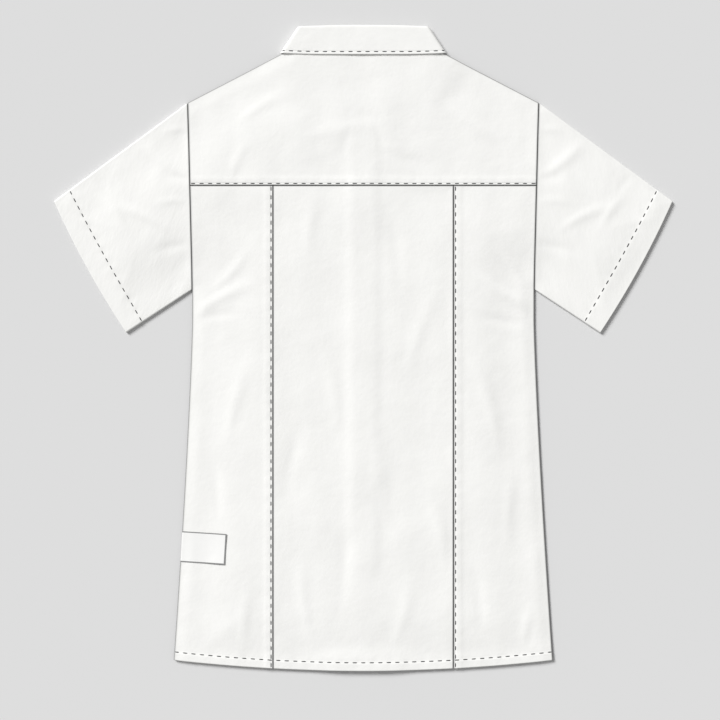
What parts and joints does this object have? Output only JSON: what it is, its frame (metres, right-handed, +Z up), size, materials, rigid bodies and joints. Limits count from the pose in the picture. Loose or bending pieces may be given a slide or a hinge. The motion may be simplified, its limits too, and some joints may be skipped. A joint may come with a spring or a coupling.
{
  "type": "medical tunic",
  "caption": "White short-sleeved medical tunic with a collar, back yoke and panelled back, laid out flat with its back up.",
  "frame": {"origin": "middle of the outline, on the surface that the tunic lies on", "axes": "+X across the tunic to the wearer's right as seen from behind, +Y from hem to collar, +Z up from the surface"},
  "size_m": [0.7434, 0.776, 0.0074],
  "materials": {
    "twill": "warm white polyester-cotton twill, matt with a slight sheen",
    "label": "plain white woven ribbon with a thin grey edge",
    "studs": "white moulded plastic"
  },
  "bodies": {
    "root": {"back_yoke": "twill", "back_centre_panel": "twill", "back_side_panel_left": "twill", "back_side_panel_right": "twill", "front_left": "twill", "front_right": "twill", "sleeve_left": "twill", "sleeve_right": "twill", "collar": "twill", "side_label": "label", "press_stud_1": "studs", "press_stud_2": "studs", "press_stud_3": "studs", "press_stud_4": "studs", "press_stud_5": "studs", "press_stud_6": "studs"}
  },
  "joints": []
}
